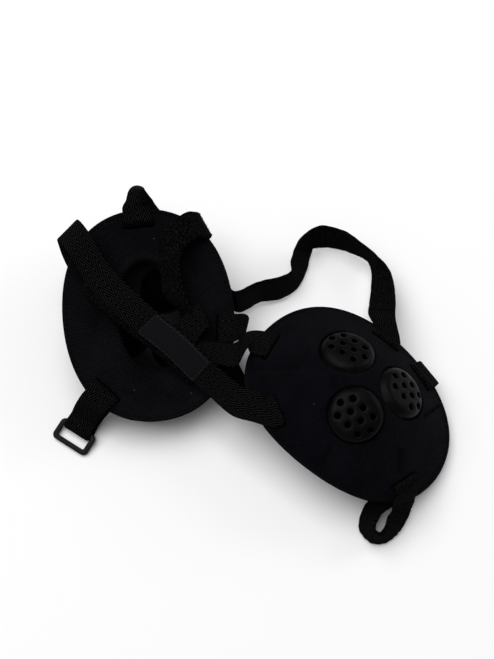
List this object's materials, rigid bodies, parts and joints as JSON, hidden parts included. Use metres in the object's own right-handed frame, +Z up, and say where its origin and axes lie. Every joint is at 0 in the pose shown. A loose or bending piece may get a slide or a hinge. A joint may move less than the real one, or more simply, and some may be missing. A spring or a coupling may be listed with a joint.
{
  "type": "wrestling ear guard",
  "caption": "Wrestling ear guard: domed soft ear cups with pierced hard shells, joined by webbing straps with a chin ring and a chin loop, lying loose on a table.",
  "frame": {"origin": "centre of the bounding box, on the table that the ear guard lies on", "axes": "+Z up from the table, +X to the right and +Y away from the viewer of the picture, with the guard as it lies there"},
  "size_m": [0.243, 0.2196, 0.0675],
  "materials": {
    "neoprene": "knit-faced neoprene, navy black",
    "shell": "moulded, satin",
    "webbing": "herringbone webbing with a brushed loop face",
    "hook": "hook tape",
    "patch": "satin woven patch",
    "ring": "moulded, satin"
  },
  "bodies": {
    "root": {"left_cover": "neoprene", "left_shell": "shell", "left_ear_pad": "neoprene", "right_cover": "neoprene", "right_shell": "shell", "right_ear_pad": "neoprene", "chin_ring": "ring", "forehead_strap": "webbing", "name_patch": "patch", "crown_strap": "webbing", "back_strap_upper": "webbing", "hook_tab": "hook", "back_strap_lower": "webbing", "chin_strap_right": "webbing", "chin_strap_left": "webbing"}
  },
  "joints": []
}
